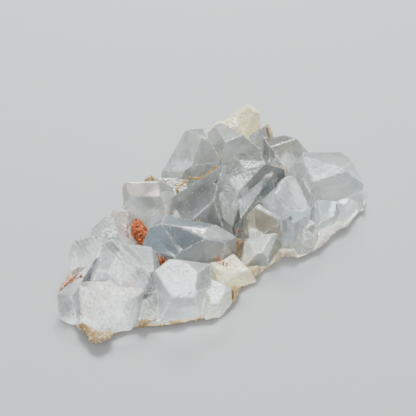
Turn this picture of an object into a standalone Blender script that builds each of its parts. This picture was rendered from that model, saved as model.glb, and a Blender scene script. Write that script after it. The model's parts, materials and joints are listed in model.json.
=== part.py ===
"""A celestite cluster: grey-blue crystals crowded side by side on a thin crust of tan rock, with
cream calcite, a milky rim and rust-red clay in the crevices between them.

The script works in metres. Its lists give millimetres and degrees, which MM and math.radians turn
into the script's units. +X runs along the crust, +Z is up, and the origin is under the middle of
the cluster, on the surface that the crust rests on.

A crystal is a name, a peak (x, y, z) and its flat faces. A face is (bearing, slope, reach): it
looks towards a bearing, counted from +X towards +Y, leans over by a slope (0 is level, 90 is
upright, more is an overhang), and passes at that reach from the peak, measured along the bearing.
"""

import math

import bmesh
import bpy
from mathutils import Vector, noise

MM = 0.001

# --- driving dimensions, in millimetres
SEAT = 2.2  # height at which the crystals are rooted in the crust
SEAM = 0.35  # gap between neighbours
BLOCK = (14.0, 14.0, 26.0)  # half the block that each crystal is cleaved from
ROOT = 1.0  # how far below the seat the first crystal is cleaved off
ROOT_STEP = 0.03  # each crystal is cleaved off a little deeper than the one before
CRUST_SPINE = (-36.0, 34.0)  # the crust's middle line, along X
SLAB_LENGTH = 200.0  # the block that levels a foot off, longer than the cluster
WHOLE = (SLAB_LENGTH, SLAB_LENGTH, SLAB_LENGTH)  # half a block that holds the whole cluster
SLAB_DEPTH = 40.0

# --- crystals
BIG_BACK = ("big back crystal", (11.5, 15.0, 21.0), (
    (174, 53, 0.8), (230, 56, 0.0), (50, 11, 0.0), (340, 68, 1.0), (94, 84, 7.4), (193, 82, 5.6),
    (237, 84, 3.6), (62, 76, 5.6), (340, 86, 2.4), (235, 98, 4.8)))
WEST_STUB = ("west stub", (-8.0, 10.0, 15.0), (
    (233, 17, -1.8), (240, 66, -0.6), (306, 44, -0.8), (164, 75, 7.4), (53, 76, 5.2), (226, 94, 0.2),
    (330, 84, 3.8), (150, 88, 9.6)))
MID_WEST = ("mid west crystal", (-1.5, -1.5, 17.5), (
    (180, 28, -1.0), (243, 60, 0.4), (290, 60, 1.5), (158, 58, 7.2), (76, 76, 7.6), (225, 92, 4.0)))
BLUE_BLADE = ("blue blade", (-11.0, -12.0, 18.5), (
    (226, 9, -0.2), (46, 24, 4.4), (205, 46, -0.2), (294, 30, -0.2), (265, 58, -0.2), (192, 62, 2.6),
    (100, 36, 11.6), (200, 98, 5.6), (171, 66, 9.5), (28, 78, 5.8), (150, 84, 16.5), (243, 96, 0.0),
    (267, 98, 2.3), (325, 76, 7.2), (70, 76, 16.0)))
FRONT_PRISM = ("front prism", (-22.5, -14.5, 15.0), (
    (219, 6, -2.6), (248, 62, 4.4), (308, 50, 5.0), (3, 23, 5.0), (171, 78, 3.2), (46, 60, 5.6),
    (96, 72, 5.2), (238, 100, 5.6), (322, 86, 8.6), (280, 92, 6.6), (20, 80, 9.8)))
FRONT_SMALL = ("small front prism", (-15.5, -21.5, 11.0), (
    (211, 10, -1.0), (247, 60, 1.4), (307, 50, 2.0), (21, 60, 2.6), (164, 74, 2.0), (123, 70, 2.0),
    (242, 96, 2.8), (320, 86, 3.6), (285, 92, 2.2), (170, 88, 3.2)))
FRONT_BROWN = ("brown front crystal", (-27.0, -11.5, 10.0), (
    (225, 63, 0.0), (232, 63, 0.0), (60, 60, 0.2), (240, 94, 4.8), (165, 84, 4.2), (310, 84, 3.8)))
CREAM_CALCITE = ("cream calcite", (-7.0, -18.0, 8.0), (
    (241, 10, 0.0), (241, 56, 0.0), (201, 50, 1.2), (359, 70, 4.2), (60, 74, 7.6), (250, 92, 0.8),
    (170, 84, 3.6)))
WEDGE = ("wedge crystal", (8.5, -9.0, 15.0), (
    (277, 9, 0.0), (199, 62, 0.4), (8, 72, 1.6), (97, 66, 0.0), (206, 60, 0.4), (283, 82, 7.2),
    (240, 94, 5.6), (160, 84, 2.0), (325, 84, 6.2)))
SOUTH_EAST = ("south east crystal", (16.0, -20.0, 11.0), (
    (0, 0, 0.0), (155, 62, 0.0), (258, 64, 0.2), (13, 66, 3.2), (71, 50, 3.0), (194, 80, 0.8),
    (256, 80, 1.2), (165, 82, 5.6), (330, 82, 5.2), (300, 84, 2.4), (250, 94, 2.6)))
SOUTH_LOW = ("south low crystal", (5.0, -15.5, 9.5), (
    (225, 30, 0.0), (190, 60, 2.0), (270, 62, 1.2), (60, 60, 1.5), (320, 70, 4.0), (240, 88, 2.6),
    (290, 86, 2.6), (150, 75, 4.0)))
EAST = ("east crystal", (16.5, -14.5, 19.0), (
    (234, 11, -0.2), (328, 48, 2.4), (226, 60, 4.6), (188, 52, 3.6), (126, 44, 4.6), (54, 62, 6.0),
    (268, 60, 5.2), (175, 97, 7.0), (218, 97, 7.2), (249, 97, 7.1), (303, 95, 5.9), (345, 84, 7.0)))
NORTH_EAST = ("north east crystal", (27.0, -15.5, 20.0), (
    (215, 8, -0.8), (26, 22, 5.3), (162, 40, 3.4), (315, 50, 5.8), (280, 54, 4.0), (231, 62, 5.0),
    (156, 62, 4.2), (66, 80, 10.4), (345, 80, 10.6), (160, 82, 3.8), (18, 74, 17.0), (250, 92, 1.4),
    (120, 60, 7.4)))
TEAL = ("teal crystal", (26.0, -17.5, 11.0), (
    (267, 62, -0.6), (251, 62, -0.2), (60, 16, 13.2), (265, 92, 1.8), (300, 84, 7.5), (325, 80, 11.2),
    (160, 84, 2.6), (60, 82, 8.8)))
SHADED_BACK = ("shaded back crystal", (27.0, 1.5, 18.5), (
    (83, 18, 0.2), (263, 56, -0.2), (224, 60, -0.2), (250, 48, -1.4), (55, 76, 5.8), (150, 82, 2.6),
    (12, 70, 5.7), (325, 82, 8.2), (240, 92, 4.2)))
NORTH_MID = ("north mid crystal", (21.0, 10.0, 20.5), (
    (97, 17, -0.2), (256, 77, 0.2), (4, 57, 0.0), (150, 70, 5.0), (60, 76, 9.0), (330, 80, 3.8)))
BACK_CHIP = ("back chip", (27.0, 9.5, 18.5), (
    (237, 52, 0.0), (228, 64, 0.8), (261, 64, -0.2), (80, 76, 0.8), (165, 82, 3.0), (330, 82, 2.0)))
CENTRE_TOP = ("centre crystal", (12.0, -3.5, 22.5), (
    (226, 13, -0.2), (46, 26, 3.4), (166, 46, 2.2), (341, 58, 4.2), (241, 52, 2.6), (160, 80, 4.8),
    (60, 78, 9.0), (124, 60, 5.2), (280, 96, 5.1)))
CENTRE_DARK = ("dark centre blade", (9.5, -5.5, 21.0), (
    (239, 81, 0.2), (78, 30, -0.2), (157, 60, -0.2), (335, 80, 6.2), (232, 92, 7.0), (60, 78, 1.8),
    (200, 12, 0.0)))
CENTRE_PALE = ("pale centre crystal", (5.0, -4.0, 20.5), (
    (188, 67, 0.4), (223, 77, 1.8), (160, 70, 2.6), (258, 75, 2.0), (60, 76, 3.4), (232, 92, 3.2),
    (215, 35, 1.2)))
FAR_STRIATED = ("striated west crystal", (-33.5, 9.0, 13.0), (
    (230, 24, -1.4), (289, 56, 3.0), (174, 49, 1.2), (65, 70, 3.4), (150, 86, 3.6), (232, 96, 4.2)))
WHITE_NUB = ("white nub", (-25.0, 10.0, 16.0), (
    (218, 26, -1.4), (204, 44, -1.4), (163, 64, 0.4), (228, 80, 1.6), (50, 76, 2.2), (325, 60, 1.5)))
PINK_CHIP = ("pink chip", (-19.0, 12.5, 12.5), (
    (230, 25, 0.0), (150, 75, 2.3), (300, 60, 1.4), (50, 70, 2.0), (230, 85, 5.0)))
LILAC = ("lilac crystal", (-34.0, -4.5, 16.5), (
    (190, 30, -6.6), (213, 30, -7.6), (239, 52, -3.2), (202, 54, -4.0), (132, 72, 3.8), (50, 74, 10.2),
    (0, 60, 6.4), (238, 94, 3.2), (305, 86, 9.4)))
LILAC_SIDE = ("clear west crystal", (-24.0, -2.0, 16.5), (
    (262, 30, 0.0), (212, 50, 1.4), (322, 78, 3.0), (160, 65, 4.0), (50, 70, 0.4), (250, 80, 5.5)))
MILKY = ("milky crystal", (-36.5, -7.5, 12.0), (
    (327, 8, -0.4), (204, 52, -0.2), (235, 56, -0.4), (165, 74, 5.4), (310, 78, 6.6), (56, 66, 5.2),
    (238, 86, 2.8), (280, 84, 4.0), (200, 84, 4.2)))
FAR_WEST = ("far west crystal", (-42.5, 0.5, 10.0), (
    (201, 68, 0.4), (287, 68, 0.2), (150, 23, 0.6), (150, 86, 4.0), (228, 94, 4.0), (95, 80, 3.8)))
BACK_LOW = ("low back crystal", (1.5, 17.0, 9.5), (
    (228, 16, 0.0), (52, 44, 1.6), (142, 58, 4.4), (318, 62, 3.8), (60, 82, 4.4), (232, 84, 4.2),
    (185, 50, 4.6)))
EAST_LOW = ("low east crystal", (36.0, 4.5, 9.5), (
    (40, 20, 0.0), (345, 50, 1.6), (100, 60, 5.0), (250, 66, 3.6), (12, 80, 4.6), (190, 84, 5.0),
    (300, 64, 4.0)))
CREAM_CHUNK = ("cream chunk", (31.5, 20.0, 18.0), (
    (145, 38, 0.5), (222, 52, 0.3), (60, 72, 2.0), (320, 84, 3.6), (250, 66, 1.5), (330, 28, 1.5),
    (235, 92, 5.0), (140, 78, 6.4)))
CHUNK_SHOULDER = ("chunk shoulder", (24.6, 21.0, 15.6), (
    (200, 22, 0.0), (228, 58, 1.4), (140, 60, 4.2), (60, 74, 1.6), (320, 60, 3.6), (232, 88, 4.2),
    (170, 50, 3.0)))
MILKY_RIM = ("milky rim", (37.0, -17.5, 8.6), (
    (0, 4, 0.0), (287, 55, 0.6), (283, 88, 2.0), (107, 80, 1.4), (350, 75, 5.8), (200, 80, 5.8),
    (315, 80, 4.6)))
# --- end

# The cluster was broken out of a wider crust: flat breaks round its back cut every crystal off
# before the crust's edge. They are written as the faces of one wide crystal.
BROKEN_BACK = ("broken back", (0.0, 0.0, SEAT), (
    (182, 84, 47.6), (144, 82, 43.0), (112, 84, 25.6), (98, 85, 24.0), (91, 86, 24.4), (12, 84, 39.7)))

# Crystals that grew through one another are one solid. Where two solids would meet, the one that
# comes first here stays whole and the later one stops short of it.
GROWTHS = {
    "blue_blade": (BLUE_BLADE,),
    "front_prisms": (FRONT_PRISM, FRONT_SMALL, FRONT_BROWN),
    "big_back_crystal": (BIG_BACK,),
    "milky_rim": (MILKY_RIM,),
    "south_east_crystals": (SOUTH_EAST, WEDGE, SOUTH_LOW),
    "centre_crystals": (
        CENTRE_TOP, CENTRE_PALE, CENTRE_DARK, NORTH_MID, BACK_CHIP, SHADED_BACK, EAST_LOW),
    "east_crystals": (EAST, NORTH_EAST, TEAL),
    "west_crystals": (WEST_STUB, MID_WEST, BACK_LOW),
    "far_west_crystals": (LILAC, LILAC_SIDE, MILKY, FAR_WEST, FAR_STRIATED, WHITE_NUB, PINK_CHIP),
    "cream_calcite": (CREAM_CALCITE,),
    "cream_chunk": (CREAM_CHUNK, CHUNK_SHOULDER),
}

# --- clay and a sliver of rock wedged between the crystals: (centre, radii, finish)
FILLINGS = {
    "rust_clay_west": ((-17.2, 9.8, 7.0), (3.6, 4.4, 4.2), "clay"),
    "rust_clay_middle": ((-19.3, -3.4, 6.5), (3.0, 3.4, 5.2), "clay"),
    "rust_clay_far_west": ((-39.4, 4.6, 6.0), (5.0, 3.0, 4.4), "clay"),
    "rust_clay_centre": ((1.1, -10.8, 5.8), (1.5, 1.5, 3.6), "clay"),
    "rust_clay_east": ((24.5, -3.0, 11.0), (1.8, 1.8, 5.4), "clay"),
    "tan_sliver": ((30.6, 10.4, 11.0), (1.8, 3.4, 7.6), "rock"),
}

# --- the crust's edge, seen from above, from the front left corner round to the right
CRUST_EDGE = (
    (-44.8, -9.0), (-43.2, -11.2), (-40.8, -11.6), (-38.2, -10.2), (-33.0, -12.0), (-27.0, -16.6),
    (-22.0, -19.2),
    (-17.0, -21.8), (-12.5, -22.6), (-8.0, -20.6), (-3.0, -19.2), (4.0, -18.6), (10.0, -18.6),
    (14.0, -21.4), (20.0, -22.2), (26.0, -21.4), (33.0, -21.4), (40.0, -20.2), (45.0, -17.4),
    (44.8, -13.0), (42.4, -6.0), (40.6, 0.0), (39.6, 6.0), (38.8, 12.0), (37.6, 18.0),
    (34.0, 23.4), (27.0, 24.4), (20.0, 24.2), (12.0, 24.0), (4.0, 22.6), (-4.0, 21.6),
    (-12.0, 20.6), (-19.0, 18.4), (-26.0, 16.0), (-33.0, 14.6), (-38.8, 11.2), (-42.4, 6.6),
    (-44.6, 1.8), (-44.4, -3.6))
# The crust's section, from its foot up and in: (share of the way to the spine, height)
CRUST_SECTION = (
    (0.07, -1.0), (0.015, 0.8), (0.0, 1.8), (0.01, 2.8), (0.04, 3.7), (0.12, 4.3), (0.25, 4.6),
    (0.42, 4.6), (0.6, 4.6), (0.8, 4.6))
CRUST_POINTS = 96  # points round the edge
# The flat cut that the crust rests on. Its sides slope up and out to the crust's rough edge.
FOOT = (
    (-41.0, -6.0), (-34.0, -9.6), (-15.0, -19.6), (24.0, -19.8), (40.5, -17.0), (37.0, 10.0),
    (32.5, 21.0), (-4.0, 20.0), (-36.0, 11.6), (-42.0, 4.0))
FOOT_SLOPE = 155
CRUST_KNOBS = (  # rough knobs on the crust: (centre, radii)
    ((-42.4, -8.8, 2.4), (2.6, 2.6, 2.8)),
    ((-5.4, 18.6, 8.0), (2.6, 2.2, 7.0)),
    ((8.5, 19.8, 6.0), (6.0, 2.6, 5.0)),
    ((-1.6, 11.4, 7.6), (1.8, 1.8, 5.2)),
)
NOISE_SEED = 7  # fixes the lumps of the crust and of the fillings
ROUGH_SCALE = 0.22  # lumps per millimetre
FINE_LUMPS = 2.6  # how many times closer the small lumps stand than the large ones
CRUST_ROUGH = 0.9  # mm, how far its lumps stand out
FILLING_ROUGH = 0.5
FILLING_SEED = 20  # each filling has its own lumps
LUMP_ROUNDS = 3  # how finely a knob is divided
WELD = 2e-6  # m, points closer than this are one

COLOURS = {  # base colour, roughness
    "blue_blade": ((0.36, 0.44, 0.53), 0.22),
    "front_prisms": ((0.66, 0.70, 0.72), 0.25),
    "big_back_crystal": ((0.50, 0.52, 0.54), 0.22),
    "centre_crystals": ((0.50, 0.53, 0.55), 0.25),
    "east_crystals": ((0.54, 0.60, 0.62), 0.22),
    "south_east_crystals": ((0.50, 0.49, 0.46), 0.22),
    "west_crystals": ((0.46, 0.45, 0.45), 0.25),
    "far_west_crystals": ((0.66, 0.66, 0.68), 0.28),
    "cream_calcite": ((0.72, 0.66, 0.50), 0.4),
    "cream_chunk": ((0.78, 0.74, 0.55), 0.45),
    "milky_rim": ((0.82, 0.82, 0.78), 0.45),
    "rock": ((0.60, 0.50, 0.36), 0.85),
    "clay": ((0.55, 0.18, 0.07), 0.9),
}


def clear_scene():
    for old in list(bpy.data.objects):
        bpy.data.objects.remove(old, do_unlink=True)


def finish(name):
    """The material of a node: its base colour and roughness."""
    colour, roughness = COLOURS[name]
    material = bpy.data.materials.new(name)
    material.use_nodes = True
    shader = material.node_tree.nodes["Principled BSDF"]
    shader.inputs["Base Color"].default_value = (*colour, 1.0)
    shader.inputs["Roughness"].default_value = roughness
    return material


def add_object(name, bm):
    mesh = bpy.data.meshes.new(name)
    bm.to_mesh(mesh)
    bm.free()
    obj = bpy.data.objects.new(name, mesh)
    bpy.context.scene.collection.objects.link(obj)
    return obj


def cap(bm, cut):
    """Close the hole that a cut left."""
    rim = [item for item in cut["geom_cut"] if isinstance(item, bmesh.types.BMEdge)]
    if rim:
        bmesh.ops.contextual_create(bm, geom=rim)


def split_off(bm, point, normal):
    """Cut away all that lies beyond a plane and close the cut."""
    parts = bm.verts[:] + bm.edges[:] + bm.faces[:]
    cut = bmesh.ops.bisect_plane(
        bm, geom=parts, plane_co=point, plane_no=normal, clear_outer=True, dist=1e-8)
    cap(bm, cut)


def cleave(crystal, root, growth=0.0, block=BLOCK):
    """Cleave a convex crystal from a block, face by face. Growth moves every face outwards."""
    _, peak, faces = crystal
    peak = Vector(peak) * MM
    bm = bmesh.new()
    bmesh.ops.create_cube(bm, size=2.0)
    bmesh.ops.scale(bm, verts=bm.verts, vec=Vector(block) * MM)
    bmesh.ops.translate(bm, verts=bm.verts, vec=peak)
    for bearing, slope, reach in faces:
        turn = math.radians(bearing)
        lean = math.radians(slope)
        outwards = Vector((math.cos(turn), math.sin(turn), 0.0))
        normal = outwards * math.sin(lean) + Vector((0.0, 0.0, math.cos(lean)))
        split_off(bm, peak + outwards * reach * MM + normal * growth * MM, normal)
    split_off(bm, Vector((0.0, 0.0, (root - growth) * MM)), Vector((0.0, 0.0, -1.0)))
    bmesh.ops.recalc_face_normals(bm, faces=bm.faces)
    return bm


def combine(obj, operation, tools):
    """Join tools to an object, or cut them away, all in one step, and drop the tools."""
    if not tools:
        return
    together = bpy.data.collections.new("tools")
    for tool in tools:
        together.objects.link(tool)
    step = obj.modifiers.new(operation, "BOOLEAN")
    step.operation = operation
    step.solver = "EXACT"
    step.operand_type = "COLLECTION"
    step.collection = together
    graph = bpy.context.evaluated_depsgraph_get()
    result = bpy.data.meshes.new_from_object(obj.evaluated_get(graph))
    obj.modifiers.clear()
    obj.data = result
    for tool in tools:
        bpy.data.objects.remove(tool, do_unlink=True)
    bpy.data.collections.remove(together)


def level_off(obj, height):
    """Cut an object off flat at a height, and drop what is below."""
    bm = bmesh.new()
    bmesh.ops.create_cube(bm, size=1.0)
    bmesh.ops.scale(bm, verts=bm.verts, vec=(SLAB_LENGTH * MM, SLAB_LENGTH * MM, SLAB_DEPTH * MM))
    bmesh.ops.translate(bm, verts=bm.verts, vec=(0.0, 0.0, (height - SLAB_DEPTH / 2) * MM))
    combine(obj, "DIFFERENCE", [add_object("block", bm)])


def whole_bodies(bm):
    """The separate bodies of a mesh, each as a set of faces."""
    left = set(bm.faces)
    bodies = []
    while left:
        body = set()
        waiting = [left.pop()]
        while waiting:
            face = waiting.pop()
            body.add(face)
            for edge in face.edges:
                for other in edge.link_faces:
                    if other in left:
                        left.remove(other)
                        waiting.append(other)
        bodies.append(body)
    return bodies


def body_volume(body):
    """The volume of a closed body, from the cones between its faces and the origin."""
    total = 0.0
    for face in body:
        corners = [vert.co for vert in face.verts]
        for near, far in zip(corners[1:-1], corners[2:]):
            total += corners[0].dot(near.cross(far)) / 6.0
    return total


def keep_main_body(obj):
    """Sweep away the splinters that cutting left, so that the object is one closed body."""
    bm = bmesh.new()
    bm.from_mesh(obj.data)
    bmesh.ops.remove_doubles(bm, verts=bm.verts, dist=WELD)
    bmesh.ops.dissolve_degenerate(bm, edges=bm.edges, dist=WELD)
    bodies = sorted(whole_bodies(bm), key=body_volume, reverse=True)
    print(obj.name, "bodies, mm3:", [round(body_volume(body) * 1e9, 1) for body in bodies])
    for body in bodies[1:]:
        bmesh.ops.delete(bm, geom=list(body), context="FACES")
    bm.to_mesh(obj.data)
    bm.free()


def root_of(index):
    """Roots end at slightly different depths, below the seat that they are all cut off at."""
    return SEAT - ROOT - index * ROOT_STEP


def sockets(crystals):
    """What the crystals take up, with the seam round them, down into the crust."""
    return [add_object("socket", cleave(crystal, root_of(index), SEAM))
            for index, crystal in enumerate(crystals)]


def break_back(obj, growth=0.0):
    """Leave only what is inside the breaks round the cluster's back."""
    inside = cleave(BROKEN_BACK, -SLAB_DEPTH, growth, block=WHOLE)
    combine(obj, "INTERSECT", [add_object("inside", inside)])


def grow(name, crystals, earlier):
    """Join crystals that grew through one another, short of the ones that grew before them."""
    first, *rest = [add_object(name, cleave(crystal, root_of(index)))
                    for index, crystal in enumerate(crystals)]
    combine(first, "UNION", rest)
    break_back(first)
    combine(first, "DIFFERENCE", sockets(earlier))
    level_off(first, SEAT)
    keep_main_body(first)
    return first


def roughen(bm, depth, seed):
    """Push a mesh's points in and out in soft lumps."""
    shift = Vector((seed * 7.3, seed * 3.1, seed * 5.7))
    for vert in bm.verts:
        place = vert.co / MM
        push = noise.noise_vector(place * ROUGH_SCALE + shift)
        push += 0.5 * noise.noise_vector(place * ROUGH_SCALE * FINE_LUMPS + shift)
        vert.co += push * depth * MM


def lump(centre, radii, depth, seed, growth=0.0):
    """A rough knob of rock or clay."""
    bm = bmesh.new()
    bmesh.ops.create_icosphere(bm, subdivisions=LUMP_ROUNDS, radius=1.0)
    for vert in bm.verts:
        vert.co = Vector(centre) * MM + vert.co * Vector(radii) * MM
    roughen(bm, depth, seed)
    bmesh.ops.recalc_face_normals(bm, faces=bm.faces)
    if growth:
        bm.normal_update()
        moves = [(vert, vert.normal.copy()) for vert in bm.verts]
        for vert, normal in moves:
            vert.co += normal * growth * MM
    return bm


def edge_point(share):
    """The point a share of the way round the crust's edge, on a smooth closed curve."""
    count = len(CRUST_EDGE)
    place = share * count
    index = int(place)
    t = place - index
    before, start, end, after = (Vector(CRUST_EDGE[(index + k) % count]) for k in (-1, 0, 1, 2))
    return 0.5 * (2 * start + (end - before) * t + (2 * before - 5 * start + 4 * end - after) * t * t
                  + (3 * start - before - 3 * end + after) * t ** 3)


def crust_point(edge, inwards, height):
    """A point of the crust's section, a share of the way from its edge to its spine."""
    spine = Vector((min(max(edge.x, CRUST_SPINE[0]), CRUST_SPINE[1]), 0.0))
    place = edge.lerp(spine, inwards)
    return Vector((place.x, place.y, height)) * MM


def crust_slab():
    """The crust: rings from its foot up its broken edge and in over its top."""
    bm = bmesh.new()
    rings = []
    for inwards, height in CRUST_SECTION:
        edges = (edge_point(step / CRUST_POINTS) for step in range(CRUST_POINTS))
        rings.append([bm.verts.new(crust_point(edge, inwards, height)) for edge in edges])
    for low, high in zip(rings, rings[1:]):
        for step in range(CRUST_POINTS):
            after = (step + 1) % CRUST_POINTS
            bm.faces.new((low[step], low[after], high[after], high[step]))
    bm.faces.new(rings[0])
    bm.faces.new(rings[-1])
    bmesh.ops.triangulate(bm, faces=bm.faces)
    bmesh.ops.recalc_face_normals(bm, faces=bm.faces)
    roughen(bm, CRUST_ROUGH, seed=1)
    return bm


def shape_foot(crust):
    """Slope the crust's underside up and out from the sides of its foot."""
    faces = []
    for start, end in zip(FOOT, FOOT[1:] + FOOT[:1]):
        side = Vector(end) - Vector(start)
        outwards = Vector((side.y, -side.x)).normalized()
        bearing = math.degrees(math.atan2(outwards.y, outwards.x))
        faces.append((bearing, FOOT_SLOPE, outwards.dot(Vector(start))))
    inside = cleave(("foot", (0.0, 0.0, 0.0), faces), -SLAB_DEPTH, block=WHOLE)
    combine(crust, "INTERSECT", [add_object("inside", inside)])


def rock_crust(crystals):
    """The crust with its knobs, a socket for every crystal and a bed for every filling."""
    crust = add_object("rock_crust", crust_slab())
    knobs = [add_object("knob", lump(centre, radii, CRUST_ROUGH, seed))
             for seed, (centre, radii) in enumerate(CRUST_KNOBS, start=2)]
    combine(crust, "UNION", knobs)
    shape_foot(crust)
    beds = [add_object("bed", lump(centre, radii, FILLING_ROUGH, seed, SEAM))
            for seed, (centre, radii, _) in enumerate(FILLINGS.values(), start=FILLING_SEED)]
    first, *rest = sockets(crystals) + beds
    combine(first, "UNION", rest)
    break_back(first, SEAM)
    level_off(first, SEAT - SEAM)
    combine(crust, "DIFFERENCE", [first])
    level_off(crust, 0.0)
    keep_main_body(crust)
    return crust


def filling(name, centre, radii, seed, crystals):
    """A patch of clay or rock, in what room the crystals leave it."""
    patch = add_object(name, lump(centre, radii, FILLING_ROUGH, seed))
    break_back(patch)
    combine(patch, "DIFFERENCE", sockets(crystals))
    level_off(patch, SEAT)
    keep_main_body(patch)
    return patch


def stand_on_origin(objects):
    """Move the cluster so that the middle of its box is over the origin and its foot at 0."""
    corners = [vert.co for obj in objects for vert in obj.data.vertices]
    middle = Vector((
        (min(c.x for c in corners) + max(c.x for c in corners)) / 2,
        (min(c.y for c in corners) + max(c.y for c in corners)) / 2,
        min(c.z for c in corners)))
    for obj in objects:
        for vert in obj.data.vertices:
            vert.co -= middle
    print("middle of the box, mm:", [round(value / MM, 3) for value in middle])


def paint(obj, material):
    obj.data.materials.clear()
    obj.data.materials.append(material)


def build():
    clear_scene()
    noise.seed_set(NOISE_SEED)
    nodes = []
    grown = []
    for name, crystals in GROWTHS.items():
        obj = grow(name, crystals, grown)
        paint(obj, finish(name))
        nodes.append(obj)
        grown += crystals
    finishes = {"clay": finish("clay"), "rock": finish("rock")}
    for seed, (name, place) in enumerate(FILLINGS.items(), start=FILLING_SEED):
        centre, radii, colour = place
        obj = filling(name, centre, radii, seed, grown)
        paint(obj, finishes[colour])
        nodes.append(obj)
    crust = rock_crust(grown)
    paint(crust, finishes["rock"])
    nodes.append(crust)
    stand_on_origin(nodes)


build()
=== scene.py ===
# %% [markdown]
# # A celestite cluster
#
# Celestite grows as blocky, see-through prisms of a pale grey-blue. Here some thirty of them crowd
# on a thin crust of tan rock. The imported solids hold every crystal's flat faces. This lesson gives
# them worn edges, haze, growth lines and stains, and dresses the rock and the clay between them.
#
# Loading the frame comes first, because every piece is shaped around its solid.

# %% Load the frame
import json
import math

import bmesh
import bpy
import numpy as np
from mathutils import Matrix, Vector, noise
from mathutils.bvhtree import BVHTree
from mathutils.kdtree import KDTree


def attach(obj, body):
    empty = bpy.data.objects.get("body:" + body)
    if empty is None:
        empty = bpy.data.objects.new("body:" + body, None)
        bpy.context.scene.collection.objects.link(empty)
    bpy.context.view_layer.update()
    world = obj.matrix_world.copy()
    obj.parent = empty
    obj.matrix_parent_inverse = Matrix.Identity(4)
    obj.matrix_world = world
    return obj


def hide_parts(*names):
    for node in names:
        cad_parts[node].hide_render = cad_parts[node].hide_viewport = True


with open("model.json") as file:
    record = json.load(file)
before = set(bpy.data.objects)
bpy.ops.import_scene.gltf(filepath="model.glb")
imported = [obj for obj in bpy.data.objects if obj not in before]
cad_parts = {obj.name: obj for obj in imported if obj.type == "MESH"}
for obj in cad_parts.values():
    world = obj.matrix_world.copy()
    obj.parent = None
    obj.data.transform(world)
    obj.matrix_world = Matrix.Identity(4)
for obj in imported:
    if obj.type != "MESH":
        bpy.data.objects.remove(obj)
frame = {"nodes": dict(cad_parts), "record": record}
MM = 0.001
NOISE_SEED = 7
noise.seed_set(NOISE_SEED)
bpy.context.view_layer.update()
slots = {entry["node"]: entry["material_slot"] for entry in frame["record"]["subparts"]}
print("solids:", len(slots), "finish slots:", sorted(set(slots.values())))

# %% [markdown]
# ## Places and directions
#
# Places in this lesson are in millimetres, measured from a point near the cluster's middle. The
# frame's own zero is the middle of the box, so each place is moved by the difference. A direction
# is given as a surveyor gives it, by a bearing on the ground and a rise above it.

# %% Places and directions
MIDDLE = Vector((-0.693, 0.538, 0.0))  # mm, the middle of the box in the measured places


def place(x, y, z):
    """A measured place in the frame's own metres."""
    return (Vector((x, y, z)) - MIDDLE) * MM


def towards(bearing, rise):
    """A direction from its bearing (degrees from +X towards +Y) and its rise above level."""
    b, r = math.radians(bearing), math.radians(rise)
    return Vector((math.cos(b) * math.cos(r), math.sin(b) * math.cos(r), math.sin(r)))


AIM = place(2.5, 3.0, 9.0)  # what the camera and the lamps look at
print("aim, mm from the frame's zero:", [round(v / MM, 1) for v in AIM])

# %% [markdown]
# ## The studio
#
# Clear stone is lit from behind and above, as a shop would light it: light falls through it and
# glances off the flat tops. A sun lamp would give hard glints and black shadows, so soft panels do
# the work: a wide one stands at the back, a weak one fills from the front, and the room itself is
# an even pale grey. The camera looks down at 45 degrees, from the left of the front.

# %% Camera and lights
CAMERA_TURN, CAMERA_RISE = -40.0, 45.0  # degrees; a turn of 0 looks from the front, from -Y
CAMERA_DISTANCE = 0.230  # m
LENS = 73.6  # mm, on a 36 mm frame
NEAR_CLIP = 0.01  # m
ROOM_COLOUR, ROOM_STRENGTH = (0.85, 0.885, 0.905, 1.0), 0.66
# name: (bearing, rise, distance in m, width in m, height in m, watts, colour)
LAMPS = {
    "back panel": (50.0, 56.0, 0.60, 0.24, 0.18, 7.2, (0.975, 0.99, 1.0)),
    "front fill": (240.0, 48.0, 0.90, 0.60, 0.60, 4.3, (0.97, 0.985, 1.0)),
}


def stand(name, data, bearing, rise, distance):
    """Put a camera or a lamp in the scene, looking at the cluster."""
    obj = bpy.data.objects.new(name, data)
    obj.location = AIM + towards(bearing, rise) * distance
    obj.rotation_mode = "QUATERNION"
    obj.rotation_quaternion = (AIM - obj.location).to_track_quat("-Z", "Y")
    bpy.context.scene.collection.objects.link(obj)
    return obj


camera = stand("camera", bpy.data.cameras.new("camera"), CAMERA_TURN - 90.0, CAMERA_RISE,
               CAMERA_DISTANCE)
camera.data.lens = LENS
camera.data.clip_start = NEAR_CLIP
bpy.context.scene.camera = camera

for name, (bearing, rise, distance, width, height, power, colour) in LAMPS.items():
    lamp = bpy.data.lights.new(name, "AREA")
    lamp.shape = "RECTANGLE"
    lamp.size, lamp.size_y = width, height
    lamp.energy = power
    lamp.color = colour
    stand(name, lamp, bearing, rise, distance)

room = bpy.data.worlds.new("room")
room.use_nodes = True
room.node_tree.nodes["Background"].inputs["Color"].default_value = ROOM_COLOUR
room.node_tree.nodes["Background"].inputs["Strength"].default_value = ROOM_STRENGTH
bpy.context.scene.world = room
print("camera at, mm:", [round(v / MM) for v in camera.location], "lamps:", list(LAMPS))

# %% [markdown]
# ## The floor
#
# A plain pale sheet, far wider than the view, so that nothing but the cluster draws the eye. One
# square face is enough, since nothing bends it.

# %% The floor
FLOOR_HALF = 3.0  # m
FLOOR_COLOUR, FLOOR_ROUGH = (0.44, 0.445, 0.45, 1.0), 0.9


def pale_floor():
    """A flat square with a dull pale finish."""
    mesh = bpy.data.meshes.new("floor")
    corners = [(x * FLOOR_HALF, y * FLOOR_HALF, 0) for x, y in ((-1, -1), (1, -1), (1, 1), (-1, 1))]
    mesh.from_pydata(corners, [], [(0, 1, 2, 3)])
    floor = bpy.data.objects.new("floor", mesh)
    bpy.context.scene.collection.objects.link(floor)
    material = bpy.data.materials.new("pale floor")
    material.use_nodes = True
    shader = material.node_tree.nodes["Principled BSDF"]
    shader.inputs["Base Color"].default_value = FLOOR_COLOUR
    shader.inputs["Roughness"].default_value = FLOOR_ROUGH
    mesh.materials.append(material)


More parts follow.
